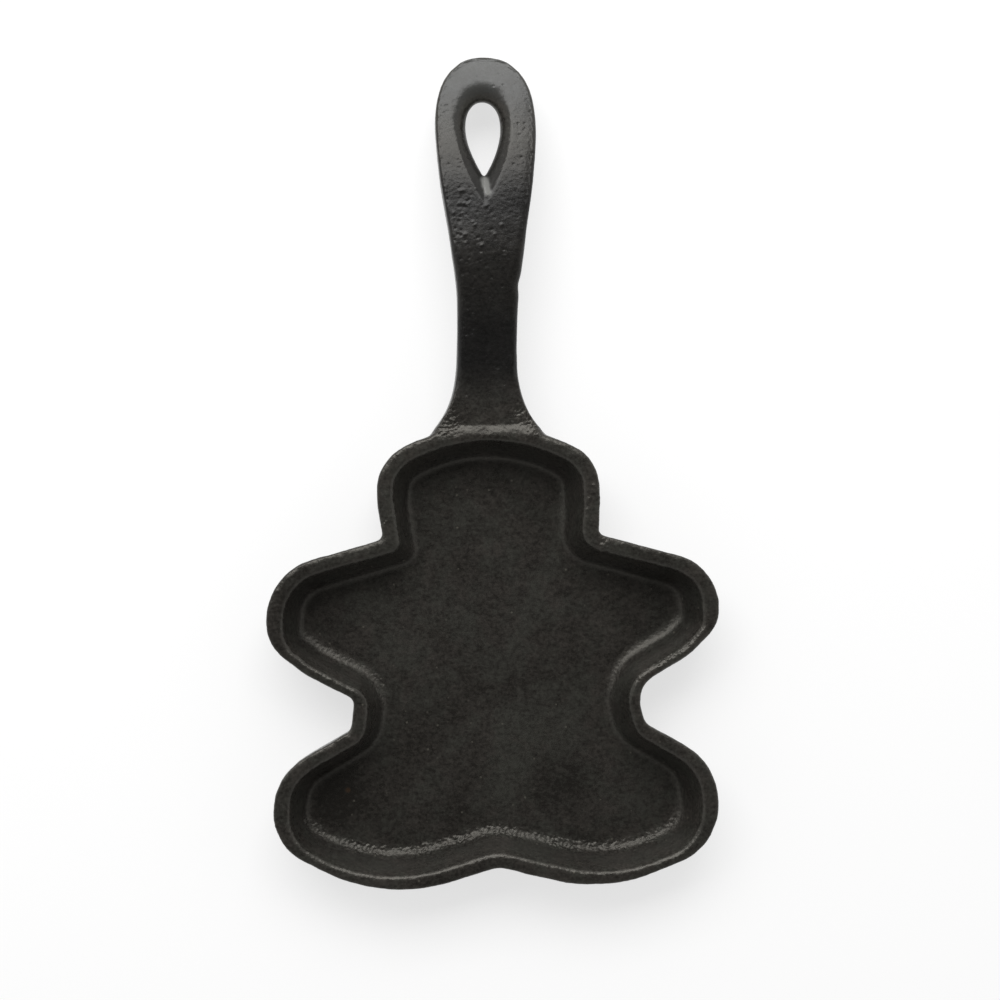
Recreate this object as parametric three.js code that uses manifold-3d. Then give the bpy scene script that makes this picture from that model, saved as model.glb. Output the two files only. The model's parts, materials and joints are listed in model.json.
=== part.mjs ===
// A cast iron baking pan in the shape of a gingerbread man, lying on its base with the handle along +Y.
// All sizes are in millimetres. The origin is on the base plane, under the middle of the body.
import * as THREE from "three";
import { mergeVertices } from "three/addons/utils/BufferGeometryUtils.js";
import Module from "manifold-3d";

const wasm = await Module();
wasm.setup();

// Heights and drafts of the pan's wall
const PAN_HEIGHT = 18;
const FLOOR_THICKNESS = 4;
const WALL_RUN = 4.3;
const OUTER_DRAFT = 1.8;
const RIM_ROUND = 1.5;
const LIP_ROUND = 1.1;
const FLOOR_FILLET = 2.2;
const BASE_ROUND = 1;

// Width of the flat lip along each stretch of the rim
const LIP_CROWN = 4.4;
const LIP_HEAD = 4.6;
const LIP_SHOULDER = 4.3;
const LIP_HAND = 4.7;
const LIP_UNDERARM = 3;
const LIP_WAIST_RIGHT = 3.3;
const LIP_WAIST_LEFT = 4.2;
const LIP_THIGH = 4;
const LIP_FOOT = 4.6;
const LIP_SOLE = 3;
const LIP_CROTCH = 4.4;

// Main sizes of the figure across
const ARM_SPAN = 132;
const RIGHT_ELBOW_IN = 9;
const LEFT_ELBOW_IN = 11.5;
const LEG_SPAN = 129.4;
const HEAD_WIDTH = 65;
const HEAD_OFFSET = -1.3;

// Share of the wall's width by which the neck's hollow corner gets rounder towards the floor
const RIGHT_NECK_SPREAD = 0.8;
const LEFT_NECK_SPREAD = 0.25;

// Where the figure's two halves meet
const CROWN_TOP = 87;
const CROWN_RADIUS = 55;
const CROTCH_BOTTOM = -48.2;
const CROTCH_RADIUS = 10;

// Corners of the figure's right half: distance across, distance along and the radius of the curve there
const RIGHT_HALF = {
  temple: { across: HEAD_WIDTH / 2 + HEAD_OFFSET, along: 70, radius: 14.3 },
  cheek: { across: HEAD_WIDTH / 2 + HEAD_OFFSET, along: 57, radius: 40 },
  neck: { across: 30.7, along: 48.2, radius: 2, spread: RIGHT_NECK_SPREAD },
  shoulder: { across: ARM_SPAN / 2, along: 38.6, radius: 16 },
  hand: { across: ARM_SPAN / 2, along: 21.5, radius: 10.3 },
  elbow: { across: ARM_SPAN / 2 - RIGHT_ELBOW_IN, along: 12.3, radius: 25 },
  armpit: { across: 41.2, along: 3.5, radius: 8 },
  hip: { across: 43.5, along: -6.9, radius: 4.7 },
  thigh: { across: LEG_SPAN / 2, along: -19.5, radius: 18.3 },
  foot: { across: LEG_SPAN / 2, along: -43.6, radius: 18.4 },
  sole: { across: 32, along: -56.4, radius: 50 },
};

// The same corners on the left half, which the pattern maker cut a little differently
const LEFT_HALF = {
  temple: { across: HEAD_WIDTH / 2 - HEAD_OFFSET, along: 70.4, radius: 14.3 },
  cheek: { across: HEAD_WIDTH / 2 - HEAD_OFFSET, along: 58, radius: 30 },
  neck: { across: 32.2, along: 47.7, radius: 2, spread: LEFT_NECK_SPREAD },
  shoulder: { across: ARM_SPAN / 2, along: 38.5, radius: 18 },
  hand: { across: ARM_SPAN / 2, along: 17.4, radius: 13 },
  elbow: { across: ARM_SPAN / 2 - LEFT_ELBOW_IN, along: 8.5, radius: 25 },
  armpit: { across: 41.1, along: 1.4, radius: 2.5 },
  hip: { across: 42.1, along: -7.5, radius: 3.4 },
  thigh: { across: LEG_SPAN / 2, along: -20.1, radius: 17.8 },
  foot: { across: LEG_SPAN / 2, along: -40.6, radius: 16.2 },
  sole: { across: 32.5, along: -57.4, radius: 50 },
};

// Plan of the handle, which starts inside the rim above the head
const HANDLE_OFFSET = -1.3;
const HANDLE_LEAN = 0.65;
const LEAN_START = 92;
const LEAN_END = 124;
const HOLE_OFFSET = -1.3;
const HANDLE_END = 189.4;
const ROOT_SINK = 4.6;
const ROOT_OVERLAP = 2;
const ROOT_WIDTH = 33.6;
const ROOT_TUCK = 12;
const GRIP_NARROW_AT = 110;
const GRIP_WIDTH = 17.5;
const EYE_AT = 168.5;
const EYE_WIDTH = 29.5;
const END_SQUARENESS = 2.25;

// Side view of the handle: heights of its upper face, its thickness and the rounding of its edges
const ROOT_TOP = 16.6;
const DIP_AT = 88;
const DIP_TOP = 16.3;
const RISE_AT = 105;
const RISE_TOP = 17.9;
const CREST_AT = 129;
const CREST_TOP = 19.9;
const FALL_AT = 148;
const FALL_TOP = 18.8;
const EYE_TOP = 15.6;
const END_TOP = 11.9;
const HANDLE_THICKNESS = 8.6;
const ROOT_THICKNESS = 11.6;
const HANDLE_ROUND = 2.2;

// The teardrop hole, which tapers from a mouth on each face to a throat half way through
const MOUTH_WIDTH = 16.4;
const MOUTH_LENGTH = 36.5;
const MOUTH_LAND = 8.8;
const THROAT_WIDTH = 10.2;
const THROAT_LENGTH = 23.4;
const THROAT_LAND = 13.4;

// Where the casting is divided into its named regions, and the size of the blocks that divide it
const ROOT_CUT = 82.5;
const GRIP_CUT = 98;
const EYE_CUT = 141;
const BLOCK = 400;

// Fineness of the curves
const CURVE_STEP = 2.4;
const STATION_STEP = 2.6;
const HOLE_STEPS = 56;
const LEAST_RADIUS = 4.5;

const v2 = (x, y) => new THREE.Vector2(x, y);

// The lip below each corner of a half
function lipsBelow(waist) {
  return {
    temple: LIP_HEAD,
    cheek: LIP_HEAD,
    neck: LIP_SHOULDER,
    shoulder: LIP_HAND,
    hand: LIP_UNDERARM,
    elbow: LIP_UNDERARM,
    armpit: waist,
    hip: LIP_THIGH,
    thigh: LIP_FOOT,
    foot: LIP_SOLE,
    sole: LIP_CROTCH,
  };
}

// The figure's corners clockwise: crown, right half downwards, crotch, left half upwards
function outlineCorners() {
  const crown = v2(0, CROWN_TOP);
  const corners = [{ name: "crown", at: crown, radius: CROWN_RADIUS, lip: LIP_CROWN, spread: 1 }];
  for (const [name, lip] of Object.entries(lipsBelow(LIP_WAIST_RIGHT))) {
    const { across, along, radius, spread = 1 } = RIGHT_HALF[name];
    corners.push({ name: `right_${name}`, at: v2(across, along), radius, lip, spread });
  }
  const left = [];
  let above = LIP_CROWN;
  for (const [name, lip] of Object.entries(lipsBelow(LIP_WAIST_LEFT))) {
    const { across, along, radius, spread = 1 } = LEFT_HALF[name];
    left.unshift({ name: `left_${name}`, at: v2(-across, along), radius, lip: above, spread });
    above = lip;
  }
  const crotch = v2(0, CROTCH_BOTTOM);
  corners.push({ name: "crotch", at: crotch, radius: CROTCH_RADIUS, lip: above, spread: 1 });
  return [...corners, ...left];
}

const CORNERS = outlineCorners();
const previous = (list, i) => list[(i + list.length - 1) % list.length];
const next = (list, i) => list[(i + 1) % list.length];

// Points of the arc that rounds one corner of a path
function roundCorner(before, corner, after, radius, steps) {
  const toBefore = before.clone().sub(corner).normalize();
  const toAfter = after.clone().sub(corner).normalize();
  const half = Math.acos(THREE.MathUtils.clamp(toBefore.dot(toAfter), -1, 1)) / 2;
  const middle = toBefore.clone().add(toAfter).normalize();
  const centre = corner.clone().addScaledVector(middle, radius / Math.sin(half));
  const start = corner.clone().addScaledVector(toBefore, radius / Math.tan(half)).sub(centre);
  const end = corner.clone().addScaledVector(toAfter, radius / Math.tan(half)).sub(centre);
  const sweep = Math.atan2(start.cross(end), start.dot(end));
  const points = [];
  for (let k = 0; k <= steps; k++) {
    points.push(start.clone().rotateAround(v2(0, 0), (sweep * k) / steps).add(centre));
  }
  return points;
}

// Half of the inner angle at a corner, and whether the figure bulges there
function cornerAngle(list, i) {
  const toBefore = previous(list, i).at.clone().sub(list[i].at).normalize();
  const toAfter = next(list, i).at.clone().sub(list[i].at).normalize();
  const half = Math.acos(THREE.MathUtils.clamp(toBefore.dot(toAfter), -1, 1)) / 2;
  return { half, bulges: toBefore.cross(toAfter) > 0 };
}

// The inward normal of the rim between two corners, which follow each other clockwise
function inward(from, to) {
  const run = to.clone().sub(from).normalize();
  return v2(run.y, -run.x);
}

// The figure's corners moved in by a share of the lip plus an extra distance
function insetCorners(share, extra) {
  return CORNERS.map((corner, i) => {
    const before = previous(CORNERS, i);
    const after = next(CORNERS, i);
    const a = inward(before.at, corner.at);
    const b = inward(corner.at, after.at);
    const moveA = share * before.lip + extra;
    const moveB = share * corner.lip + extra;
    const det = a.cross(b);
    const shift = v2((moveA * b.y - moveB * a.y) / det, (a.x * moveB - b.x * moveA) / det);
    const mean = (moveA + moveB) / 2;
    const smaller = Math.max(corner.radius - mean, Math.min(corner.radius, LEAST_RADIUS));
    const radius = cornerAngle(CORNERS, i).bulges ? smaller : corner.radius + mean * corner.spread;
    return { at: corner.at.clone().add(shift), radius };
  });
}

// How many steps each corner's arc is drawn with, the same on every ring
const WIDEST_INSET = LIP_HEAD + WALL_RUN + FLOOR_FILLET;
const ARC_STEPS = CORNERS.map((corner, i) => {
  const { half, bulges } = cornerAngle(CORNERS, i);
  const largest = corner.radius + (bulges ? 0 : WIDEST_INSET);
  return 2 * Math.max(1, Math.ceil(((Math.PI - 2 * half) * largest) / CURVE_STEP / 2));
});

// One closed ring of the figure's outline; a radius is limited by the length of the edges beside it
function outlineRing(share, extra) {
  const corners = insetCorners(share, extra);
  const reach = corners.map((corner, i) => corner.radius / Math.tan(cornerAngle(corners, i).half));
  const points = [];
  corners.forEach((corner, i) => {
    const before = previous(corners, i);
    const after = next(corners, i);
    const roomBefore = before.at.distanceTo(corner.at) / (previous(reach, i) + reach[i]);
    const roomAfter = after.at.distanceTo(corner.at) / (next(reach, i) + reach[i]);
    const radius = corner.radius * Math.min(1, roomBefore, roomAfter);
    points.push(...roundCorner(before.at, corner.at, after.at, radius, ARC_STEPS[i]));
  });
  return points;
}

// The wall's section, from the base over the rim to the edge of the floor plate and down again.
// The rim's sharp corner overhangs the outline by as much as its rounding takes off again.
// Each point has its share of the lip, its extra inset and its height.
function wallSection() {
  const far = 50;
  const lean = Math.atan2(OUTER_DRAFT, PAN_HEIGHT);
  const overhang = (RIM_ROUND / Math.tan(Math.PI / 4 - lean / 2)) * Math.sin(lean);
  const base = v2(OUTER_DRAFT - overhang, 0);
  const rim = v2(-overhang, PAN_HEIGHT);
  const lip = v2(0, PAN_HEIGHT);
  const foot = v2(WALL_RUN, FLOOR_THICKNESS);
  const outside = [
    ...roundCorner(v2(far, 0), base, rim, BASE_ROUND, 2),
    ...roundCorner(base, rim, v2(far, PAN_HEIGHT), RIM_ROUND, 3),
  ];
  const inside = [
    ...roundCorner(v2(-far, PAN_HEIGHT), lip, foot, LIP_ROUND, 3),
    ...roundCorner(lip, foot, v2(far, FLOOR_THICKNESS), FLOOR_FILLET, 3),
  ];
  const edge = inside.at(-1);
  return [
    ...outside.map((p) => ({ share: 0, extra: p.x, height: p.y })),
    ...inside.map((p) => ({ share: 1, extra: p.x, height: p.y })),
    { share: 1, extra: edge.x, height: 0 },
  ];
}

const SECTION = wallSection();
const RINGS = SECTION.map(({ share, extra }) => outlineRing(share, extra));
const SAMPLES = RINGS[0].length;

// A closed body from a list of sections, each a list of Vector3, with triangulated end caps
function loft(sections, capPlane) {
  const size = sections[0].length;
  const positions = sections.flat().flatMap((p) => [p.x, p.y, p.z]);
  const faces = [];
  for (let i = 0; i + 1 < sections.length; i++) {
    for (let j = 0; j < size; j++) {
      const a = i * size + j;
      const b = i * size + ((j + 1) % size);
      faces.push(a, b, a + size, b, b + size, a + size);
    }
  }
  const cap = (section, start, first) => {
    const contour = section.map(capPlane);
    const swap = THREE.ShapeUtils.isClockWise(contour) !== first;
    for (const [a, b, c] of THREE.ShapeUtils.triangulateShape(contour, [])) {
      faces.push(start + a, start + (swap ? c : b), start + (swap ? b : c));
    }
  };
  cap(sections[0], 0, true);
  cap(sections.at(-1), (sections.length - 1) * size, false);
  const geometry = new THREE.BufferGeometry();
  geometry.setAttribute("position", new THREE.Float32BufferAttribute(positions, 3));
  geometry.setIndex(faces);
  return facingOut(geometry);
}

// Turns a body's faces over when they point inwards
function facingOut(geometry) {
  const p = geometry.getAttribute("position");
  const index = geometry.getIndex().array;
  const corner = (k) => new THREE.Vector3().fromBufferAttribute(p, index[k]);
  let volume = 0;
  for (let k = 0; k < index.length; k += 3) {
    volume += corner(k).dot(corner(k + 1).cross(corner(k + 2)));
  }
  if (volume < 0) {
    geometry.setIndex(Array.from(index).reverse());
  }
  return geometry;
}

// The wall between two samples of the rim
function wallSolid(from, to) {
  const sections = [];
  const count = (to - from + SAMPLES) % SAMPLES;
  for (let i = 0; i <= count; i++) {
    const sample = (from + i) % SAMPLES;
    sections.push(RINGS.map((ring, j) => {
      return new THREE.Vector3(ring[sample].x, ring[sample].y, SECTION[j].height);
    }));
  }
  const flat = (p, j, section) => {
    const inwards = section.at(-1).clone().sub(section[0]).normalize();
    return v2(p.clone().sub(section[0]).dot(inwards), p.z);
  };
  return loft(sections, flat);
}

// First and last sample of a corner's arc
function arcStart(name) {
  const i = CORNERS.findIndex((corner) => corner.name === name);
  return ARC_STEPS.slice(0, i).reduce((sum, steps) => sum + steps + 1, 0);
}

function arcMiddle(name) {
  return arcStart(name) + ARC_STEPS[CORNERS.findIndex((corner) => corner.name === name)] / 2;
}

function arcEnd(name) {
  return arcStart(name) + ARC_STEPS[CORNERS.findIndex((corner) => corner.name === name)];
}

// The flat plate inside the walls
function floorSolid() {
  const plate = new THREE.Shape(RINGS.at(-1));
  return new THREE.ExtrudeGeometry(plate, { depth: FLOOR_THICKNESS, bevelEnabled: false });
}

// Where the rim crosses the middle of the crown, and the handle's start and full flare measured from there
const CROWN_EDGE = Math.max(...RINGS.flat().map((p) => p.y));
const ROOT_START = CROWN_EDGE - ROOT_SINK;
const ROOT_MEET = CROWN_EDGE - ROOT_OVERLAP;

// The handle's centre line, which leans a little to one side as the hand-cut pattern did
function handleCentre(along) {
  return HANDLE_OFFSET + HANDLE_LEAN * THREE.MathUtils.smoothstep(along, LEAN_START, LEAN_END);
}

// Half the handle's width at a distance along it
function handleHalfWidth(along) {
  if (along < ROOT_MEET) {
    const t = (ROOT_MEET - along) / (ROOT_MEET - ROOT_START);
    return THREE.MathUtils.lerp(ROOT_WIDTH, ROOT_WIDTH - ROOT_TUCK, t) / 2;
  }
  if (along < GRIP_NARROW_AT) {
    const t = (GRIP_NARROW_AT - along) / (GRIP_NARROW_AT - ROOT_MEET);
    return (GRIP_WIDTH + (ROOT_WIDTH - GRIP_WIDTH) * t ** 4) / 2;
  }
  if (along < EYE_AT) {
    const t = THREE.MathUtils.smoothstep(along, GRIP_NARROW_AT, EYE_AT);
    return THREE.MathUtils.lerp(GRIP_WIDTH, EYE_WIDTH, t) / 2;
  }
  const t = Math.min((along - EYE_AT) / (HANDLE_END - EYE_AT), 1);
  return (EYE_WIDTH / 2) * (1 - t ** END_SQUARENESS) ** (1 / END_SQUARENESS);
}

// The height of the handle's upper face at a distance along it
const TOP_LINE = new THREE.CatmullRomCurve3([
  new THREE.Vector3(0, ROOT_START, ROOT_TOP),
  new THREE.Vector3(0, ROOT_MEET, ROOT_TOP),
  new THREE.Vector3(0, DIP_AT, DIP_TOP),
  new THREE.Vector3(0, RISE_AT, RISE_TOP),
  new THREE.Vector3(0, CREST_AT, CREST_TOP),
  new THREE.Vector3(0, FALL_AT, FALL_TOP),
  new THREE.Vector3(0, EYE_AT, EYE_TOP),
  new THREE.Vector3(0, HANDLE_END, END_TOP),
]);
const TOP_POINTS = TOP_LINE.getPoints(120);

function handleTop(along) {
  const k = THREE.MathUtils.clamp(TOP_POINTS.findIndex((p) => p.y >= along), 1, TOP_POINTS.length - 1);
  const a = TOP_POINTS[k - 1];
  const b = TOP_POINTS[k];
  return THREE.MathUtils.lerp(a.z, b.z, (along - a.y) / (b.y - a.y));
}

// The handle's thickness at a distance along it
function handleThickness(along) {
  const t = THREE.MathUtils.smoothstep(along, ROOT_MEET, RISE_AT);
  return THREE.MathUtils.lerp(ROOT_THICKNESS, HANDLE_THICKNESS, t);
}

// One rounded section of the handle
function handleSection(along) {
  const half = handleHalfWidth(along);
  const toEnd = Math.max(HANDLE_ROUND - (HANDLE_END - along), 0);
  const drop = HANDLE_ROUND - Math.sqrt(HANDLE_ROUND ** 2 - toEnd ** 2);
  const top = handleTop(along) - drop;
  const bottom = handleTop(along) - handleThickness(along) + drop;
  const round = Math.min(HANDLE_ROUND, half * 0.9, (top - bottom) * 0.45);
  const frame = [v2(-half, bottom), v2(half, bottom), v2(half, top), v2(-half, top)];
  const outline = frame.flatMap((corner, i) => {
    return roundCorner(previous(frame, i), corner, next(frame, i), round, 4);
  });
  return outline.map((p) => new THREE.Vector3(p.x + handleCentre(along), along, p.y));
}

function handleSolid() {
  const stops = [];
  const inner = HANDLE_END - HANDLE_ROUND;
  const steps = Math.ceil((inner - ROOT_START) / STATION_STEP);
  for (let k = 0; k < steps; k++) {
    stops.push(ROOT_START + ((inner - ROOT_START) * k) / steps);
  }
  const turns = 6;
  for (let k = 0; k < turns; k++) {
    stops.push(inner + HANDLE_ROUND * Math.sin((Math.PI / 2) * (k / turns)));
  }
  return loft(stops.map(handleSection), (p) => v2(p.x, p.z));
}

// A teardrop ring with its round end towards the handle's end and its point towards the grip
function teardropRing(width, length, land, depth) {
  const widest = (4 * Math.sqrt(3)) / 9;
  const points = [];
  for (let k = 0; k < HOLE_STEPS; k++) {
    const turn = (2 * Math.PI * (k + 0.5)) / HOLE_STEPS;
    const across = ((width / 2) * Math.sin(turn) * Math.sin(turn / 2)) / widest;
    const along = HANDLE_END - land - (length / 2) * (1 + Math.cos(turn));
    const height = handleTop(along) - HANDLE_THICKNESS / 2 + depth;
    points.push(new THREE.Vector3(across + HOLE_OFFSET, along, height));
  }
  return points;
}

// The hole opens from its throat to a rolled mouth on both faces: depth in half thicknesses, and share opened
const HOLE_PROFILE = [
  { depth: -1.6, opened: 2.2 },
  { depth: -1.15, opened: 1.26 },
  { depth: -0.7, opened: 0.48 },
  { depth: -0.45, opened: 0.18 },
  { depth: -0.2, opened: 0 },
  { depth: 0.2, opened: 0 },
  { depth: 0.45, opened: 0.18 },
  { depth: 0.7, opened: 0.48 },
  { depth: 1.15, opened: 1.26 },
  { depth: 1.6, opened: 2.2 },
];

function eyeCutter() {
  const rings = HOLE_PROFILE.map(({ depth, opened }) => {
    const width = THREE.MathUtils.lerp(THROAT_WIDTH, MOUTH_WIDTH, opened);
    const length = THREE.MathUtils.lerp(THROAT_LENGTH, MOUTH_LENGTH, opened);
    const land = THREE.MathUtils.lerp(THROAT_LAND, MOUTH_LAND, opened);
    return teardropRing(width, length, land, (depth * HANDLE_THICKNESS) / 2);
  });
  return loft(rings, (p) => v2(p.x, p.y));
}

// Joining and cutting
function toManifold(geometry) {
  const bare = geometry.clone();
  bare.deleteAttribute("normal");
  bare.deleteAttribute("uv");
  const merged = mergeVertices(bare, 1e-5);
  const vertProperties = Float32Array.from(merged.getAttribute("position").array);
  const triVerts = Uint32Array.from(merged.getIndex().array);
  return new wasm.Manifold(new wasm.Mesh({ numProp: 3, vertProperties, triVerts }));
}

function toGeometry(manifold) {
  const mesh = manifold.getMesh();
  const geometry = new THREE.BufferGeometry();
  geometry.setAttribute("position", new THREE.Float32BufferAttribute(mesh.vertProperties, 3));
  geometry.setIndex(Array.from(mesh.triVerts));
  return geometry;
}

function slab(from, to) {
  const box = new THREE.BoxGeometry(BLOCK, to - from, BLOCK);
  box.translate(0, (from + to) / 2, 0);
  return toManifold(box);
}

// The named regions of the casting
const iron = { color: 0x2b2a28, roughness: 0.62, metalness: 0.15 };
const pan = new THREE.Group();
pan.name = "gingerbread_man_pan";

function addNode(name, geometry) {
  const solid = geometry.index ? geometry : mergeVertices(geometry, 1e-5);
  solid.computeVertexNormals();
  const mesh = new THREE.Mesh(solid, new THREE.MeshStandardMaterial(iron));
  mesh.name = name;
  pan.add(mesh);
}

addNode("pan_floor", floorSolid());

const handle = toManifold(handleSolid()).subtract(toManifold(eyeCutter()));
const head = toManifold(wallSolid(arcMiddle("left_neck"), arcMiddle("right_neck")));
addNode("head_wall", toGeometry(head.add(handle.intersect(slab(-BLOCK, ROOT_CUT)))));

addNode("right_arm_wall", wallSolid(arcMiddle("right_neck"), arcEnd("right_armpit")));
addNode("right_leg_wall", wallSolid(arcEnd("right_armpit"), arcMiddle("crotch")));
addNode("left_leg_wall", wallSolid(arcMiddle("crotch"), arcStart("left_armpit")));
addNode("left_arm_wall", wallSolid(arcStart("left_armpit"), arcMiddle("left_neck")));

addNode("handle_root", toGeometry(handle.intersect(slab(ROOT_CUT, GRIP_CUT))));
addNode("handle_grip", toGeometry(handle.intersect(slab(GRIP_CUT, EYE_CUT))));
addNode("hanging_eye", toGeometry(handle.intersect(slab(EYE_CUT, BLOCK))));

export default pan;
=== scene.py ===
# %% [markdown]
# # A cast iron pan in the shape of a gingerbread figure
#
# The pan is one sand casting: a flat floor, a low wall that follows the figure's outline, and a short
# handle with a teardrop hole to hang it by. The solids that were drawn for it give every size. They come
# in first as the frame, and the surface that a foundry leaves on iron is made over them.

# %% Load the frame
import json
import math

import bpy
import numpy as np
from mathutils import Matrix, Vector

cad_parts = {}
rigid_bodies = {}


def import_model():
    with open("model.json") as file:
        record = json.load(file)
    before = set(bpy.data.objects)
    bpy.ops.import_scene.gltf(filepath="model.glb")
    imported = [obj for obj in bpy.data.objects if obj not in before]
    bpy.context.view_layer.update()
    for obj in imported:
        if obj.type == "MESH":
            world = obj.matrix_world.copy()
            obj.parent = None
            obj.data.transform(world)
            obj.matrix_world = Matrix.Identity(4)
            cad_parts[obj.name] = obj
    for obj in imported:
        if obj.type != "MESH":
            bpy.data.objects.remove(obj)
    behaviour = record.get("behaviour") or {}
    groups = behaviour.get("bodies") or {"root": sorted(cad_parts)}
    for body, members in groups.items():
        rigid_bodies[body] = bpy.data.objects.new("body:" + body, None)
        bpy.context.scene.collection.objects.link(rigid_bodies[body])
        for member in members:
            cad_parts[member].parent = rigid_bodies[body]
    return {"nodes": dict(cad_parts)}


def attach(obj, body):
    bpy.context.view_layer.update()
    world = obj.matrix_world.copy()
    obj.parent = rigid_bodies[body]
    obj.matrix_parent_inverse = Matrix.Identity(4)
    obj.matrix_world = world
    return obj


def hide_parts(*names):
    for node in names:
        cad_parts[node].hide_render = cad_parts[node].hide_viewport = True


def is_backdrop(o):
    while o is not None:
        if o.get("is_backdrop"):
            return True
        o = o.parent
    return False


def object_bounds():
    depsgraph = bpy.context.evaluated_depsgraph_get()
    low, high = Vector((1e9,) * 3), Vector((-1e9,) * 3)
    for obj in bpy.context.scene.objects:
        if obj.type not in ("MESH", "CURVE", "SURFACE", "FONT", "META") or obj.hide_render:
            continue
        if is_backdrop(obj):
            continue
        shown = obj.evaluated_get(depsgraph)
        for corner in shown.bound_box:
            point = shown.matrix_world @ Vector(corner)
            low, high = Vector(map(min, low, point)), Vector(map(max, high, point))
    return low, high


MM = 0.001
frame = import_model()
cad_low, cad_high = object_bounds()
print("frame:", sorted(frame["nodes"]), [round(x, 4) for x in cad_high - cad_low])

# %% [markdown]
# ## The camera
#
# The pan is seen square on from in front of its open side, a little from the left and turned by less than
# a degree. The place was found by laying the solids' outline over the picture until the two agreed. The
# pan lies on its back here, so the camera looks down at it.

# %% Camera
VIEW_CENTRE = Vector((1.9, 58.6, 18)) * MM
VIEW_DISTANCE = 450 * MM
MM_PER_PIXEL = 0.29
PIXELS = 1000
yaw = math.radians(3.55)
roll = math.radians(0.73)

towards = Vector((-math.sin(yaw), 0, math.cos(yaw)))
level = Vector((0, 1, 0)).cross(towards)
upright = towards.cross(level)
right = level * math.cos(roll) - upright * math.sin(roll)
top = level * math.sin(roll) + upright * math.cos(roll)

bpy.ops.object.camera_add(location=VIEW_CENTRE + towards * VIEW_DISTANCE)
camera = bpy.context.object
camera.rotation_euler = Matrix((right, top, towards)).transposed().to_euler()
camera.data.sensor_width = 36
camera.data.lens = camera.data.sensor_width * VIEW_DISTANCE / (MM_PER_PIXEL * MM * PIXELS)
bpy.context.scene.camera = camera
print("lens", round(camera.data.lens, 2), "mm")

# %% [markdown]
# ## One rough casting
#
# A foundry pours the whole pan at once, so its skin runs over floor, walls and handle without a break.
# The nine solids could each be roughened alone, but then every seam would show. So copies of them are
# joined, and a voxel remesh makes one even skin of small squares. A little smoothing takes the steps out
# of it and rounds the lips as the sand does.

# %% Copy the solids and make one skin
SKIN = 0.5 * MM


def only(piece):
    if bpy.context.object and bpy.context.object.mode != "OBJECT":
        bpy.ops.object.mode_set(mode="OBJECT")
    bpy.ops.object.select_all(action="DESELECT")
    piece.select_set(True)
    bpy.context.view_layer.objects.active = piece


def change(piece, kind, **settings):
    only(piece)
    bpy.ops.object.modifier_add(type=kind)
    modifier = piece.modifiers[-1]
    for key, value in settings.items():
        setattr(modifier, key, value)
    bpy.ops.object.modifier_apply(modifier=modifier.name)


def copy_of(*solids):
    only(solids[0])
    for solid in solids:
        solid.select_set(True)
    bpy.ops.object.duplicate()
    bpy.ops.object.parent_clear(type="CLEAR_KEEP_TRANSFORM")
    if len(solids) > 1:
        bpy.ops.object.join()
    copy = bpy.context.object
    for key in list(copy.keys()):
        del copy[key]
    bpy.ops.object.mode_set(mode="EDIT")
    bpy.ops.mesh.select_all(action="SELECT")
    bpy.ops.mesh.remove_doubles(threshold=0.001 * MM)
    bpy.ops.object.mode_set(mode="OBJECT")
    return copy


casting = copy_of(*[frame["nodes"][name] for name in sorted(frame["nodes"])])
casting.name = "casting"
change(casting, "REMESH", mode="VOXEL", voxel_size=SKIN)
change(casting, "SMOOTH", factor=0.5, iterations=3)
print("casting:", len(casting.data.polygons), "squares")

# %% [markdown]
# ## Picking points
#
# Sand and use change the pan in certain places only. A group of points keeps a weight for each point of the
# skin, and a modifier works on a point as strongly as its weight says. Weights can be painted with a brush.
# Here they are worked out from where a point lies and which way it faces, so they come out the same each
# time.

# %% Groups of points, picked by place and by slope
def skin_values(items, name, width=3):
    values = np.zeros(len(items) * width)
    items.foreach_get(name, values)
    return values.reshape(-1, width)


def ramp(values, start, end):
    t = np.clip((values - start) / (end - start), 0, 1)
    return t * t * (3 - 2 * t)


def between(values, start, full, fading, end):
    return ramp(values, start, full) * (1 - ramp(values, fading, end))


def group(piece, name, weights, blur=0):
    made = piece.vertex_groups.new(name=name)
    steps = np.round(np.clip(weights, 0, 1) * 100).astype(int)
    for step in range(1, 101):
        made.add(np.flatnonzero(steps == step).tolist(), step / 100, "REPLACE")
    if blur:
        only(piece)
        piece.vertex_groups.active = made
        bpy.ops.object.mode_set(mode="WEIGHT_PAINT")
        bpy.ops.object.vertex_group_smooth(factor=0.5, repeat=blur)
        bpy.ops.object.mode_set(mode="OBJECT")
    print("group", name, int((steps > 0).sum()), "points")
    return name


def push(piece, name, weights, distance, direction="NORMAL"):
    where = group(piece, name, weights)
    change(piece, "DISPLACE", direction=direction, mid_level=0, strength=distance * MM, vertex_group=where)


print("points of the skin:", len(casting.data.vertices))

# %% [markdown]
# ## Softer than the solids
#
# Sand doesn't hold a sharp edge, so the casting is softer than its drawing. The crown's lip slopes down to
# the root of the handle, and the root runs on flat and then curves up into the grip. Points could be moved
# by hand in edit mode. Here they are picked by place and by slope, and a Displace modifier lifts or lowers
# each by its weight, so the step fades out at the sides.

# %% Soft step behind the crown
FLOOR_TOP, LIP_TOP, ROOT_TOP = 4, 18, 17.1
HEAD_TOP = 78
MIDDLE = -1.3
LIP_BACK, LIP_END = 77.5, 81
SLOPE_START, SLOPE_LENGTH = 75.2, 5.3
CURVE_START, CURVE_LENGTH, CURVE = 84, 22, 0.0018
ROOT_END = CURVE_START + CURVE_LENGTH
ROOT_SIDES = (14, 18)
ROOT_LOWEST = 13.5
EDGES_FADE, RISE_FADE = (86, 104), (97, 105)
MOST_RISE = 2

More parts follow.
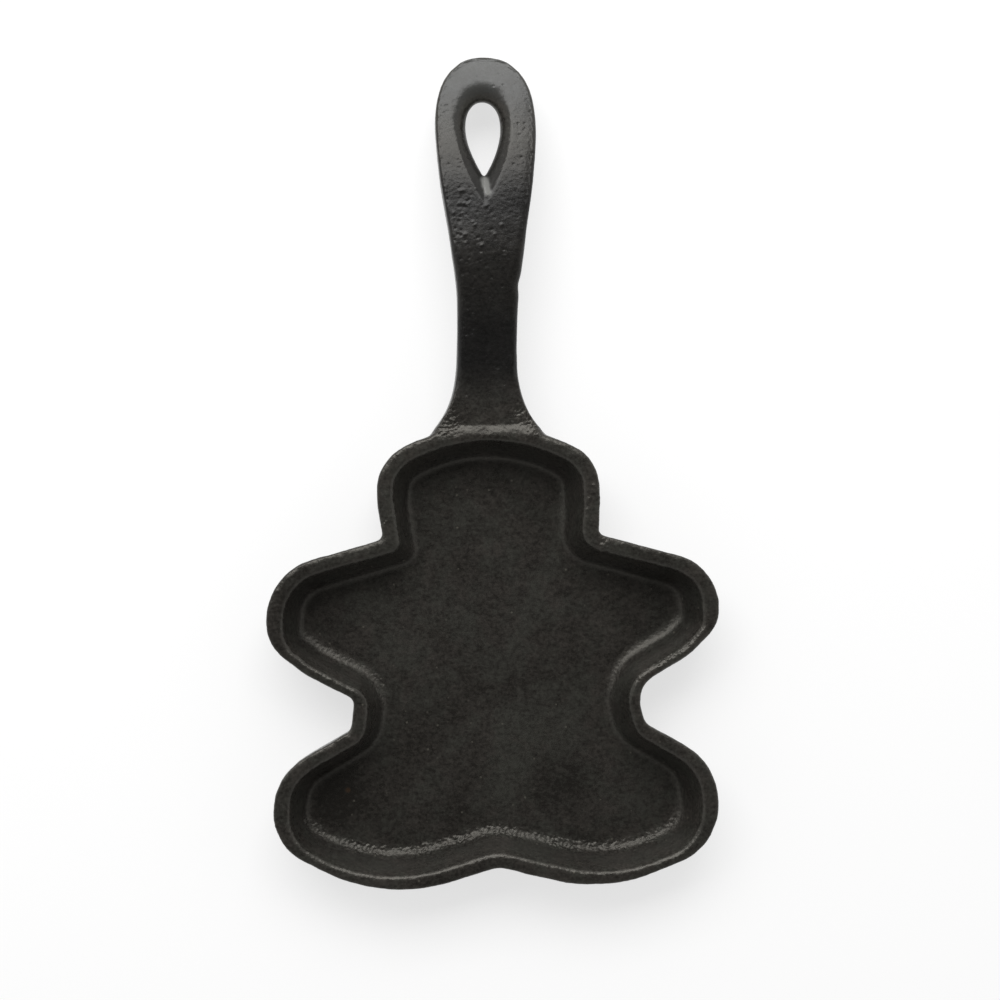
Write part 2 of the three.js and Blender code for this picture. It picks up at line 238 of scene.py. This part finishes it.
across, along, height = (skin_values(casting.data.vertices, "co") / MM).T
facing_right, facing_handle, upward = skin_values(casting.data.vertices, "normal").T
sideways = abs(across - MIDDLE)
on_right = across > MIDDLE

above_root = (along > SLOPE_START) * (along < ROOT_END) * (1 - ramp(sideways, *ROOT_SIDES))
root_skin = (upward > 0.3) * (height > ROOT_LOWEST) * above_root
lip_slope = (LIP_TOP - ROOT_TOP) * np.clip((along - SLOPE_START) / SLOPE_LENGTH, 0, 1) ** 2
root_curve = CURVE * np.clip(along - CURVE_START, 0, CURVE_LENGTH) ** 2
too_low = LIP_TOP - lip_slope + root_curve - height
edges_stay = 1 - ramp(along, *EDGES_FADE) * ramp(too_low, 0.4, 1)
rising = root_skin * (along > LIP_BACK) * edges_stay * (1 - ramp(along, *RISE_FADE))
push(casting, "root_rise", rising * np.clip(too_low, 0, MOST_RISE) / MOST_RISE, MOST_RISE, "Z")
push(casting, "lip_slope", root_skin * np.clip(-too_low, 0, 1) * (along < LIP_END), -1, "Z")

# %% [markdown]
# ## Crisper outer edges
#
# The outer edges of the rim and the handle are less round on the pan than on the solids. A bevel needs an
# edge, and a skin of small squares has none, so its points are moved instead. The helper works out how far
# a point of the old round lies below a smaller round, and the point is lifted by that. To find the outside
# of the rim, the base is marked on a grid of millimetres. A point faces outwards where the place a little
# beside it isn't above the base.

# %% Rounds of the rim and the handle
RIM_ROUND, CRISP_RIM, RIM_SHARE = 1.5, 0.7, 0.7
HANDLE_ROUND, CRISP_HANDLE, GRIP_SHARE = 2.2, 1, 0.4
RIM_LOWEST, HANDLE_LOWEST = 15.5, 6
GRIP_START, EYE_MIDDLE, EYE_REACH = 98, 168, 30
EYE_NECK = (128, 150)
GRID, GRID_MIDDLE = 500, 200
BESIDE = 4


def fuller(old_round, new_round):
    inset = old_round * (1 - np.sqrt(1 - np.clip(upward, 0, 1) ** 2))
    new_drop = new_round - np.sqrt(new_round ** 2 - (new_round - np.clip(inset, 0, new_round)) ** 2)
    return np.clip(old_round * (1 - upward) - new_drop, 0, 1) * (upward > 0.1)


def grid_place(values):
    return np.round(values + GRID_MIDDLE).astype(int)


footprint = np.zeros((GRID, GRID), bool)
on_base = height < 0.5
footprint[grid_place(across[on_base]), grid_place(along[on_base])] = True
beside_x = grid_place(across + BESIDE * facing_right)
beside_y = grid_place(along + BESIDE * facing_handle)
rim_outside = ~footprint[beside_x, beside_y] * (height > RIM_LOWEST) * (along < HEAD_TOP)
outwards = facing_right * (across - MIDDLE) + facing_handle * np.clip(along - EYE_MIDDLE, 0, EYE_REACH)
handle_outside = (outwards > 0) * (along > GRIP_START) * (height > HANDLE_LOWEST)
towards_eye = GRIP_SHARE + (1 - GRIP_SHARE) * ramp(along, *EYE_NECK)
push(casting, "rim_edge", fuller(RIM_ROUND, CRISP_RIM) * rim_outside * RIM_SHARE, 1, "Z")
push(casting, "handle_edge", fuller(HANDLE_ROUND, CRISP_HANDLE) * handle_outside * towards_eye, 1, "Z")

# %% [markdown]
# ## A domed back
#
# The handle's back falls off a little towards its sides and its end, more on the right. A lattice could
# bend it too, but weights keep each change to its own place. The crest, the end and the left side are
# drawn in by a fraction of a millimetre, because the waves that the sand adds later stand out again. The
# right foot is a little fuller than in the solids.

# %% Dome the handle and trim the skin
HALF_WIDTH, SIDE_DROP, RIGHT_DROP = 13, 0.35, 0.4
END_START, END_LENGTH, END_DROP = 176, 13, 0.45
RIGHT_FOOT = (62, -40)
LEFT_EDGE, HANDLE_END = (60, 66), (182, 189)


def near(x, y, radius):
    return np.exp(-((across - x) ** 2 + (along - y) ** 2) / radius ** 2)


to_sides = (sideways / HALF_WIDTH) ** 2 * (SIDE_DROP + RIGHT_DROP * on_right)
to_end = np.clip((along - END_START) / END_LENGTH, 0, 1) ** 2 * END_DROP
on_back = (upward > 0) * ramp(along, GRIP_START, 112)
push(casting, "domed_back", on_back * np.clip(to_sides + to_end, 0, 1), -1, "Z")
push(casting, "low_crest", between(along, GRIP_START, 118, 140, 160), -0.35, "Z")
push(casting, "short_end", ramp(along, *HANDLE_END), -0.2, "Y")
push(casting, "right_foot", near(*RIGHT_FOOT, 14), 0.5, "X")
push(casting, "left_side", ramp(-across, *LEFT_EDGE), 0.06, "X")

# %% [markdown]
# ## Rolled, blended and smoothed
#
# The upper part of the hole's mouth is rolled in, the root's sides blend into the wall of the head, and
# the lip under the right arm is broad. A smooth brush in sculpt mode could do this by hand. A Smooth
# modifier on a group of points does it the same way each time: each round moves a point towards its
# neighbours, and many rounds make a wide curve.

# %% Roll the mouth and blend the root
UNDERARM = (50, 16)
LEFT_CORNER, RIGHT_CORNER = (-17.8, 78.5), (15.2, 78.5)
LEFT_SIDE, RIGHT_SIDE = (-18.5, 77), (16, 77)
MOUTH_HALF_WIDTH, MOUTH_HALF_LENGTH = 9.5, 15

behind_lip = between(along, 77.4, 79, 100, ROOT_END) * (1 - ramp(sideways, 13, 18))
from_hole = np.hypot((across - MIDDLE) / MOUTH_HALF_WIDTH, (along - EYE_MIDDLE) / MOUTH_HALF_LENGTH)
right_of_hole = ramp(across, 1, 4) * (1 - ramp(along, 172, 178))
rolled = (1 - ramp(from_hole, 0.85, 1.1)) * ramp(along, 158, EYE_MIDDLE) * (1 - 0.8 * right_of_hole)
corners = near(*LEFT_CORNER, 4) + near(*RIGHT_CORNER, 4)
underarm = near(*UNDERARM, 8) * (height > 9)
soft = np.maximum((height > 12) * np.maximum(behind_lip * 0.2, rolled), corners * (height > 6) + underarm)
below_rim = (near(*LEFT_SIDE, 6) + near(*RIGHT_SIDE, 6)) * (height > 5) * (1 - ramp(height, 13, 15))
soft_places = group(casting, "soft_places", soft)
change(casting, "SMOOTH", factor=0.5, iterations=50, vertex_group=soft_places)
root_sides = group(casting, "root_sides", below_rim)
change(casting, "SMOOTH", factor=0.5, iterations=160, vertex_group=root_sides)

# %% [markdown]
# ## Wide fillets and soft lips
#
# The fillet at the foot of the walls is wide, and the lips' inner edges are soft. Both are smoothed in the
# same way, and blurred weights let the smoothing fade out on the floor and the walls. The walls that face
# the handle, where the lamp is, are first hollowed a little at the foot, so that their fillet gets wider
# without creeping over the floor. Their lips are smoothed less than the others.

# %% Smooth the fillets and the lips
def facing_lamp():
    return ramp(facing_handle, -0.1, 0.3)


in_pan = (along < HEAD_TOP) * (upward > 0.1)
foot = between(height, 4.2, 5.5, 8, 15) * facing_lamp() * (upward < 0.8)
push(casting, "wall_foot", foot * in_pan, -0.8)
fillets = between(height, FLOOR_TOP - 0.5, FLOOR_TOP, 8, 11) * (upward < 0.997)
soft_fillets = group(casting, "soft_fillets", fillets * in_pan, blur=6)
change(casting, "SMOOTH", factor=0.5, iterations=45, vertex_group=soft_fillets)
lips = ramp(height, 15, 17) * ramp(upward, 0.35, 0.65) * (1 - 0.3 * facing_lamp())
soft_lips = group(casting, "soft_lips", lips * in_pan * ~rim_outside, blur=2)
change(casting, "SMOOTH", factor=0.5, iterations=25, vertex_group=soft_lips)

# %% [markdown]
# ## Finer squares where the detail is
#
# The upper side of the handle has pits as small as a grain of sand, and the lips and the fillet round the
# floor are crumbly. A finer skin everywhere would be slow, so only those squares are divided once more.

# %% Divide the squares of the handle, the lips and the fillet
faces = casting.data.polygons
across, along, height = (skin_values(faces, "center") / MM).T
upward = skin_values(faces, "normal")[:, 2]
on_handle = (along > HEAD_TOP) & (height > 8) & (upward > 0.2)
on_fillet = (along < HEAD_TOP) & (height > 3.5) & (height < 8) & (upward > 0.2) & (upward < 0.985)
on_lip = (along < HEAD_TOP) & (height > 15) & (upward > 0.2)
fine = on_handle | on_fillet | on_lip
only(casting)
bpy.ops.object.mode_set(mode="EDIT")
bpy.ops.mesh.select_mode(type="FACE")
bpy.ops.mesh.select_all(action="DESELECT")
bpy.ops.object.mode_set(mode="OBJECT")
faces.foreach_set("select", fine)
bpy.ops.object.mode_set(mode="EDIT")
bpy.ops.mesh.subdivide(number_cuts=1)
bpy.ops.object.mode_set(mode="OBJECT")
print("divided", int(fine.sum()), "squares, now", len(casting.data.polygons))

# %% [markdown]
# ## The skin that the sand leaves
#
# Iron poured into sand takes the sand's surface: slow waves where the mould was rammed unevenly, and a
# fine grain everywhere. Both could be painted as bump, but then the edges would stay ruler straight. A
# Displace modifier moves the skin itself, in and out by less than half a millimetre. The flat base is
# left alone, so that the pan stands as the solids do.

# %% Waves and grain
points = casting.data.vertices
across, along, height = (skin_values(points, "co") / MM).T
facing_handle, upward = skin_values(points, "normal").T[1:]
mould_side = group(casting, "mould_side", 1 - (upward < -0.9) * (height < 0.4))


def roughen(piece, name, kind, size, depth, where, outward=0.0, **settings):
    sand = bpy.data.textures.new(name, kind)
    sand.noise_scale = size * MM
    for key, value in settings.items():
        setattr(sand, key, value)
    change(
        piece, "DISPLACE", texture=sand, texture_coords="LOCAL", direction="NORMAL",
        mid_level=1 - outward, strength=depth * MM, vertex_group=where,
    )
    print("skin:", name, depth, "mm deep,", size, "mm wide")


rim_side = group(casting, "rim_side", ramp(height, 6, 15) * (1 - 0.8 * ramp(along, HEAD_TOP, 90)))
roughen(casting, "mould_waves", "CLOUDS", 13, 0.34, mould_side, outward=0.48, noise_depth=1)
roughen(casting, "rammed_sand", "CLOUDS", 3.6, 0.3, rim_side, outward=0.48, noise_depth=2)
roughen(casting, "sand_grain", "CLOUDS", 1.1, 0.07, mould_side, outward=0.48, noise_depth=2)

# %% [markdown]
# ## The crumbled fillet
#
# Where the wall meets the floor the sand crumbled a little and the iron has a rough bead, most of all
# along the feet and at the left waist. Crumbs could be laid along it one by one, but they melt into the
# iron. So a group of points picks the fillet, and a deeper texture swells and pits it. Two sines make the
# bead patchy. The lips that face the lamp, most of all under the right arm, and the corners of the root are
# rough in the same way.

# %% Rough bead round the floor
LEFT_WAIST = (-33.5, 3)
foot_of_wall = between(height, FLOOR_TOP - 0.3, FLOOR_TOP, FLOOR_TOP + 1.2, FLOOR_TOP + 4)
curving = between(upward, 0.15, 0.4, 0.985, 0.999)
crumbly = facing_lamp() * (1 - 0.75 * ramp(along, 0, 8)) + near(*LEFT_WAIST, 6)
patchy = 0.65 + 0.35 * np.sin(across / 3.1 + 1.3) * np.sin(along / 2.3 + across / 7.7)
bead = foot_of_wall * curving * np.clip(crumbly, 0.08, 1) * patchy * (along < HEAD_TOP)
floor_edge = group(casting, "floor_edge", bead, blur=3)
roughen(casting, "crumbled_sand", "CLOUDS", 0.85, 0.95, floor_edge, outward=0.5, noise_depth=3)

# %% Rough lip and root corners
lip_edge = ramp(height, 14, 16.5) * between(upward, 0.3, 0.6, 0.95, 0.995)
rough_places = facing_lamp() * np.clip(0.3 + near(*UNDERARM, 10), 0, 1) * (along < HEAD_TOP)
rough_lip = group(casting, "rough_lip", lip_edge * rough_places, blur=2)
roughen(casting, "lip_sand", "CLOUDS", 0.6, 0.4, rough_lip, outward=0.45, noise_depth=2)

root_corners = near(9, 83.5, 3) + near(13, 80.8, 2.6) + near(-11.8, 81.8, 3) + near(-15.5, 80, 2.6)
sandy_corners = group(casting, "sandy_corners", root_corners * (height > 12) * ramp(upward, 0.2, 0.5))
roughen(casting, "corner_sand", "CLOUDS", 0.8, 0.75, sandy_corners, outward=0.5, noise_depth=2)

# %% [markdown]
# ## Pits, grains and a nick
#
# Gas leaves small pits in the iron, and loose sand leaves grains on it. On this pan they are scattered in
# clusters: on the left of the grip, round the eye, on the hands and feet, beside the head, and in the
# right notch of the neck, where some are lumps. Placing each by hand would be slow. A cluster is a place,
# a spread and a count, and a seeded generator scatters its spots. The nick is a shallow dent in the right
# edge of the grip.

# %% Scatter pits and grains
PIT_CLUSTERS = [
    (-6.8, 126, 1.8, 10), (-3, 131, 2.5, 6), (4, 131, 2.5, 4), (-8, 146, 3, 10), (-5, 139, 4, 12),
    (-9.5, 134, 2.5, 8), (10.4, 170, 2.2, 10), (-12.2, 173, 2, 8), (-6.5, 114, 1.2, 4), (-7, 109, 1.2, 4),
    (0, 118, 5, 8), (0, 182, 6, 8), (-9.5, 157, 2, 8), (9.5, 157, 2, 6), (0, 95, 6, 6),
]
GRAIN_CLUSTERS = [
    (30.5, 44.5, 1.8, 10), (-59, 28, 2.2, 16), (-58, -37, 2.6, 26), (-44, 12, 4, 10), (-29, 53, 2.5, 16),
    (-8, 146, 3, 8), (-5, 139, 4, 8), (58, -38, 4, 12), (33, 58, 3, 10), (60, 24, 3, 8), (-20, 73, 4, 8),
]
LUMP_CLUSTERS = [(30.3, 44.2, 1.6, 6)]
NICK = (8.6, 121)
scatter = np.random.default_rng(21)


def spots(clusters, smallest, largest):
    weights = np.zeros(len(across))
    for x, y, spread, count in clusters:
        for middle in scatter.normal((x, y), spread, (count, 2)):
            radius = scatter.uniform(smallest, largest)
            weights = np.maximum(weights, near(*middle, radius) * scatter.uniform(0.4, 1))
    return weights


on_top = ramp(upward, 0.2, 0.5) * (height > 8)
push(casting, "gas_pits", on_top * spots(PIT_CLUSTERS, 0.3, 0.5), -0.14)
push(casting, "sand_grains", on_top * spots(GRAIN_CLUSTERS, 0.3, 0.6), 0.2)
push(casting, "neck_lumps", on_top * spots(LUMP_CLUSTERS, 0.7, 1.1), 0.3)
push(casting, "edge_nick", near(*NICK, 2.4) * (height > 8), -0.5)

# %% [markdown]
# ## The nine regions
#
# The frame names nine regions of the casting, and each gets its own piece of the skin. The floor is cut
# out with its own solid, made taller so that it passes through the whole plate. The ring of walls is cut
# like a cake from the middle of the chest, and the handle straight across, where the solids meet.

# %% Cut the floor out of the ring of walls
def same_again(piece, name):
    only(piece)
    bpy.ops.object.duplicate()
    copy = bpy.context.object
    copy.name = name
    return copy


floor_cutter = copy_of(frame["nodes"]["pan_floor"])
only(floor_cutter)
bpy.ops.object.mode_set(mode="EDIT")
bpy.ops.mesh.select_all(action="SELECT")
bpy.ops.transform.resize(value=(1, 1, 3), center_override=(0, 0, FLOOR_TOP / 2 * MM))
bpy.ops.object.mode_set(mode="OBJECT")
plate = same_again(casting, "cast_floor")
change(plate, "BOOLEAN", operation="INTERSECT", solver="MANIFOLD", object=floor_cutter)
walls = same_again(casting, "walls_and_handle")
change(walls, "BOOLEAN", operation="DIFFERENCE", solver="MANIFOLD", object=floor_cutter)
bpy.data.objects.remove(floor_cutter)
print("floor", len(plate.data.polygons), "faces, walls and handle", len(walls.data.polygons))

# %% Cut the handle across
ROOT_CUT, GRIP_CUT, EYE_CUT = 82.5, GRIP_START, 141


def keep_side(piece, point, direction):
    only(piece)
    bpy.ops.object.mode_set(mode="EDIT")
    bpy.ops.mesh.select_all(action="SELECT")
    bpy.ops.mesh.bisect(
        plane_co=Vector(point) * MM, plane_no=Vector(direction).normalized(),
        use_fill=True, clear_inner=True, threshold=0.0001 * MM,
    )
    bpy.ops.object.mode_set(mode="OBJECT")


def handle_length(name, start, end):
    piece = same_again(walls, name)
    keep_side(piece, (0, start, 0), (0, 1, 0))
    if end:
        keep_side(piece, (0, end, 0), (0, -1, 0))
    return piece


root = handle_length("cast_root", ROOT_CUT, GRIP_CUT)
grip = handle_length("cast_grip", GRIP_CUT, EYE_CUT)
eye = handle_length("cast_eye", EYE_CUT, None)
keep_side(walls, (0, ROOT_CUT, 0), (0, -1, 0))
print("root, grip, eye:", [len(piece.data.polygons) for piece in (root, grip, eye)])

# %% Cut the ring of walls like a cake
CHEST = Vector((0, 20, 0))
CUTS = {
    "right_neck": Vector((26, 46, 0)), "right_waist": Vector((36, 0, 0)), "crotch": Vector((0, -46, 0)),
    "left_waist": Vector((-36, 0, 0)), "left_neck": Vector((-28, 46, 0)),
}


def slice_of_walls(name, first, last):
    piece = same_again(walls, name)
    for cut, turn in ((first, -1), (last, 1)):
        ray = CUTS[cut] - CHEST
        keep_side(piece, CHEST, (-ray.y * turn, ray.x * turn, 0))
    return piece


head = slice_of_walls("cast_head", "left_neck", "right_neck")
right_arm = slice_of_walls("cast_right_arm", "right_neck", "right_waist")
right_leg = slice_of_walls("cast_right_leg", "right_waist", "crotch")
left_leg = slice_of_walls("cast_left_leg", "crotch", "left_waist")
left_arm = slice_of_walls("cast_left_arm", "left_waist", "left_neck")
bpy.data.objects.remove(walls)
print("slices:", [len(piece.data.polygons) for piece in (head, right_arm, right_leg, left_leg, left_arm)])

# %% [markdown]
# ## No seams
#
# On the real casting nothing shows where one region ends. Each piece was cut from the same skin, so the
# shapes meet, but a cut piece shades its last squares without knowing its neighbour. The cure is to lend
# every piece the normals of the whole casting, which a Data Transfer modifier copies from the nearest
# place on it.

# %% Each piece stands for its region
REGIONS = {
    "pan_floor": plate, "head_wall": head, "right_arm_wall": right_arm, "right_leg_wall": right_leg,
    "left_leg_wall": left_leg, "left_arm_wall": left_arm, "handle_root": root, "handle_grip": grip,
    "hanging_eye": eye,
}
only(casting)
bpy.ops.object.shade_smooth()
for node, piece in REGIONS.items():
    only(piece)
    piece.vertex_groups.clear()
    bpy.ops.object.shade_smooth_by_angle(angle=math.radians(60))
    change(
        piece, "DATA_TRANSFER", object=casting, use_loop_data=True, data_types_loops={"CUSTOM_NORMAL"},
        loop_mapping="POLYINTERP_NEAREST",
    )
    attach(piece, "root")
    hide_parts(node)
bpy.data.objects.remove(casting)
print("pieces:", {piece.name: len(piece.data.polygons) for piece in REGIONS.values()})

# %% [markdown]
# ## Writing a finish as sums
#
# A finish is a graph of nodes, and most of them only add or multiply. A small class wraps a socket, so
# that those nodes can be written as sums in Python, and one method makes every other node from its type,
# its settings and its inputs.

# %% Sums on sockets
class Value:
    def __init__(self, finish, socket):
        self.finish = finish
        self.socket = socket

    def sum(self, operation, *terms, clamp=False):
        settings = {"operation": operation, "use_clamp": clamp}
        return self.finish.node("Math", settings, dict(enumerate(terms)))

    def __add__(self, other):
        return self.sum("ADD", self, other)

    def __radd__(self, other):
        return self.sum("ADD", other, self)

    def __sub__(self, other):
        return self.sum("SUBTRACT", self, other)

    def __rsub__(self, other):
        return self.sum("SUBTRACT", other, self)

    def __mul__(self, other):
        return self.sum("MULTIPLY", self, other)

    def __rmul__(self, other):
        return self.sum("MULTIPLY", other, self)

    def clamped(self):
        return self.sum("ADD", self, 0, clamp=True)

    def step(self, start, end):
        settings = {"interpolation_type": "SMOOTHSTEP"}
        return self.finish.node("MapRange", settings, {"Value": self, "From Min": start, "From Max": end})

    def between(self, start, full, fading, end):
        return self.step(start * MM, full * MM) * (1 - self.step(fading * MM, end * MM))

    def other(self, name):
        return Value(self.finish, self.socket.node.outputs[name])


class Finish:
    def __init__(self, tree):
        self.tree = tree
        tree.nodes.clear()

    def node(self, kind, settings=None, inputs=None, out=0):
        made = self.tree.nodes.new("ShaderNode" + kind)
        for key, value in (settings or {}).items():
            setattr(made, key, value)
        for key, value in (inputs or {}).items():
            if isinstance(value, Value):
                self.tree.links.new(value.socket, made.inputs[key])
            else:
                made.inputs[key].default_value = value
        return Value(self, made.outputs[out]) if made.outputs else made

    def colour(self, share, first, second):
        inputs = {0: share, 6: first, 7: second}
        return self.node("Mix", {"data_type": "RGBA"}, inputs, out=2)

    def noise(self, where, size, detail=2, rough=0.5):
        inputs = {"Vector": where, "Scale": 1 / (size * MM), "Detail": detail, "Roughness": rough}
        return self.node("TexNoise", None, inputs)

    def cells(self, where, size):
        return self.node("TexVoronoi", None, {"Vector": where, "Scale": 1 / (size * MM)})

    def spot(self, where, x, y, radius):
        middle = Vector((x, y, 0)) * MM
        away = self.node("VectorMath", {"operation": "DISTANCE"}, {0: where, 1: middle}, "Value")
        return 1 - away.step(0.3 * radius * MM, radius * MM)


def new_finish(name):
    material = bpy.data.materials.new(name)
    material.use_nodes = True
    return material, Finish(material.node_tree)


print("finishes are written with", [name for name in vars(Finish) if not name.startswith("__")])

# %% [markdown]
# ## Seasoned iron
#
# Oil baked onto the iron leaves a thin black varnish: nearly no colour of its own, and a dull gloss that
# changes from place to place. It is nearly black where the layer is thick and brownish or greenish where
# it is thin, with tiny pale specks of bare metal. A painted picture could be wrapped over the pan, but
# noise in the pan's own space runs on from piece to piece without a seam. The sizes of the noises are
# those of the patches on the pan.

# %% Patches, grain and specks of the iron
iron, f = new_finish("seasoned_iron")
place = f.node("TexCoord", out="Object")
x_place = f.node("SeparateXYZ", None, {"Vector": place})
y_place = x_place.other("Y")
z_place = x_place.other("Z")

flat = f.node("VectorMath", {"operation": "MULTIPLY"}, {0: place, 1: (1, 1, 0)})
patches = f.noise(place, 30, 3, 0.55) - 0.5
hues = f.noise(place, 8, 3, 0.6)
clouds = f.noise(place, 9, 4, 0.6) - 0.5
tones = f.noise(place, 3.6, 3, 0.6) - 0.5
grain = f.noise(place, 0.9, 3, 0.65)
stroked = f.node("Mapping", None, {"Vector": place, "Scale": (0.5, 1, 1)})
strokes = f.noise(stroked, 1.1, 3, 0.65) - 0.5
dots = f.cells(place, 3.2)
picked = f.node("SeparateColor", None, {"Color": dots.other("Color")})
specks = (1 - dots.step(0.06, 0.14)) * picked.step(0.5, 0.9)
print("iron:", len(iron.node_tree.nodes), "nodes for the patches")

# %% [markdown]
# ## Seasoned, dark grip and dry
#
# Three shaders share these patches. The seasoned one is warm and has the gloss of the varnish. The grip
# is made blackest, and a little less black on its crest. The top of the hanging eye was rubbed dry, so it
# is greyer there. The groove under the hole is painted pale grey, a painted highlight where its bottom
# faces the lamp. Mix Shaders go from one to the next along the handle.

# %% Colours of the iron
thick = (0.0105, 0.0093, 0.0081, 1)
brown = (0.0350, 0.0317, 0.0277, 1)
green = (0.0322, 0.0320, 0.0273, 1)
bare = (0.036, 0.037, 0.035, 1)
chalky = (0.075, 0.077, 0.073, 1)
groove_highlight_grey = (0.17, 0.17, 0.16, 1)
speck = (0.085, 0.080, 0.066, 1)
rust = (0.050, 0.028, 0.015, 1)
grip_black = (0.0035, 0.0033, 0.0030, 1)
grip_dark_grey = (0.0085, 0.0080, 0.0074, 1)

shade = patches * 1.1 + clouds * 0.8 + tones * 0.7
mottle = (0.5 + shade + strokes * 1.3 + (grain - 0.5) * 2).clamped()
# Painted shade: three spots darken the floor in the hollows of the right leg, the left leg and the left
# arm, mixed towards the thick varnish colour.
painted_shade_spots = f.spot(flat, 19.7, -25.5, 14) + f.spot(flat, -47.5, -30, 12) + f.spot(flat, -56, 26, 22) * 0.6
thin = f.colour(hues.step(0.4, 0.6), brown, green)
varnish_with_painted_shade = f.colour((mottle - painted_shade_spots * 0.35).clamped(), thick, thin)
spotted = f.colour(specks * 0.7, varnish_with_painted_shade, speck)
rusted = f.colour(f.spot(flat, -43.6, -27, 1.1) * 0.7, spotted, rust)
# Painted highlight: the three spots pick the groove under the point of the hole. Its pale grey stands in
# for light on the groove's bottom, which faces the lamp.
point = f.spot(flat, -1.3, 151.8, 2) + f.spot(flat, -1, 150, 2) + f.spot(flat, -0.5, 148, 1.8)
end = f.colour(y_place.step(172 * MM, 188 * MM), bare, chalky)
worn = f.colour(mottle * 0.5, end, varnish_with_painted_shade)
dry_colour_with_groove_highlight = f.colour(point.clamped() * 0.9, worn, groove_highlight_grey)
print("iron:", len(iron.node_tree.nodes), "nodes with the colours")

# %% Iron shaders
IRON_SHINE, GRIP_SHINE = 0.42, 0.3
warm = (1, 0.96, 0.87, 1)
# The grip from 82 to 180 mm along is made darker, a little less so on its crest from 106 to 146 mm.
grip_crest = y_place.between(106, 122, 130, 146)
grip_darkening = y_place.between(82, 100, 140, 180) * (1 - grip_crest * 0.3)
topside = f.node("SeparateXYZ", None, {"Vector": place.other("Normal")}).other("Z").step(0.75, 0.98)
dry_with_groove_highlight = (y_place.step(156 * MM, 181 * MM) * topside + point).clamped()
relief = f.node("Bump", None, {"Strength": 0.6, "Distance": 0.1 * MM, "Height": grain})
gloss = 0.29 + shade * 0.06 + strokes * 0.08
crumbs = z_place.between(4.1, 4.6, 6, 9)

seasoned = f.node("BsdfPrincipled", None, {
    "Base Color": rusted, "Roughness": (gloss + crumbs * 0.1).clamped(), "Normal": relief,
    "Specular IOR Level": IRON_SHINE, "Specular Tint": warm,
})
dark_grip_shader = f.node("BsdfPrincipled", None, {
    "Base Color": f.colour(mottle, grip_black, grip_dark_grey), "Roughness": gloss.clamped(), "Normal": relief,
    "Specular IOR Level": GRIP_SHINE,
})
rubbed_with_groove_highlight = f.node("BsdfPrincipled", None, {
    "Base Color": dry_colour_with_groove_highlight, "Roughness": (gloss + 0.02).clamped(), "Normal": relief,
    "Specular IOR Level": IRON_SHINE,
})
body = f.node("MixShader", None, {0: grip_darkening, 1: seasoned, 2: dark_grip_shader})
f.node("OutputMaterial", None, {"Surface": f.node("MixShader", None, {0: dry_with_groove_highlight, 1: body, 2: rubbed_with_groove_highlight})})
for piece in REGIONS.values():
    piece.data.materials.clear()
    piece.data.materials.append(iron)
print("iron finish:", len(iron.node_tree.nodes), "nodes")

# %% [markdown]
# ## The studio
#
# One soft lamp hangs high beyond the handle's end, so the walls that face it catch the light and the floor
# of the pan keeps a dull sheen. The room gives the rest: its walls are bright, most of all on the handle's
# side, and its ceiling is dim. The ground is white paper. Part of what the camera sees of it is its own
# shade, so that the pan's shadow stays, and the other part is made just bright enough for the lit paper to
# come out white.

# %% Ground
PAPER = 0.9
PAPER_LIGHT = 0.93
SHOWN_WHITE = 0.58


def grey(level):
    return (level, level, level, 1)


bpy.ops.mesh.primitive_plane_add(size=8, location=(0, 0, -0.2 * MM))
ground = bpy.context.object
ground.name = "ground"
ground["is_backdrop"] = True
paper, g = new_finish("white_paper")
camera_ray = g.node("LightPath")
seen = (camera_ray + camera_ray.other("Is Glossy Ray") + camera_ray.other("Is Transmission Ray")).clamped()
matt = g.node("BsdfDiffuse", None, {"Color": grey(PAPER)})
missing = (1 - (1 - SHOWN_WHITE) * PAPER * PAPER_LIGHT) / SHOWN_WHITE
white = g.node("Emission", None, {"Color": grey(1), "Strength": missing})
shown = g.node("MixShader", None, {0: seen * SHOWN_WHITE, 1: matt, 2: white})
g.node("OutputMaterial", None, {"Surface": shown})
ground.data.materials.append(paper)
print("ground", ground.dimensions[:], "white part", round(missing, 2))

# %% Lamp and room
LAMP_WIDTH, LAMP_DEPTH = 1.0, 0.5
LAMP_DISTANCE = 0.9
LAMP_WATTS = 7.4
lamp_tilt = math.radians(42)
lamp_turn = math.radians(12)
lamp_way = Vector((-math.sin(lamp_turn) * math.sin(lamp_tilt), math.cos(lamp_turn) * math.sin(lamp_tilt),
                   math.cos(lamp_tilt)))
bpy.ops.object.light_add(type="AREA", location=VIEW_CENTRE + lamp_way * LAMP_DISTANCE)
lamp = bpy.context.object
lamp.data.shape = "RECTANGLE"
lamp.data.size, lamp.data.size_y = LAMP_WIDTH, LAMP_DEPTH
lamp.data.energy = LAMP_WATTS
lamp.rotation_euler = lamp_way.to_track_quat("Z", "Y").to_euler()

FOOT_WALL, HANDLE_WALL, CEILING = grey(0.6), grey(1.05), grey(0.12)
world = bpy.data.worlds.new("room")
bpy.context.scene.world = world
world.use_nodes = True
w = Finish(world.node_tree)
sky = w.node("TexCoord", out="Generated")
side = w.node("SeparateXYZ", None, {"Vector": sky})
wall_light = w.colour(side.other("Y").step(-0.7, 0.7), FOOT_WALL, HANDLE_WALL)
room = w.colour(side.other("Z").step(0.4, 0.95), wall_light, CEILING)
room_light = w.node("Background", None, {"Color": room, "Strength": 1})
w.node("OutputWorld", None, {"Surface": room_light})
bpy.context.scene.view_settings.view_transform = "Standard"
print("lamp", LAMP_WATTS, "W at", [round(x, 2) for x in lamp.location])

# %% [markdown]
# ## Last check
#
# This prints how far the finished pan reaches past the box of the solids that it was made from.

# %% Sizes of the finished pan
low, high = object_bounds()
grown = [round(x / MM, 3) for x in [*(cad_low - low), *(high - cad_high)]]
print("grown past the solids' box (mm):", grown)
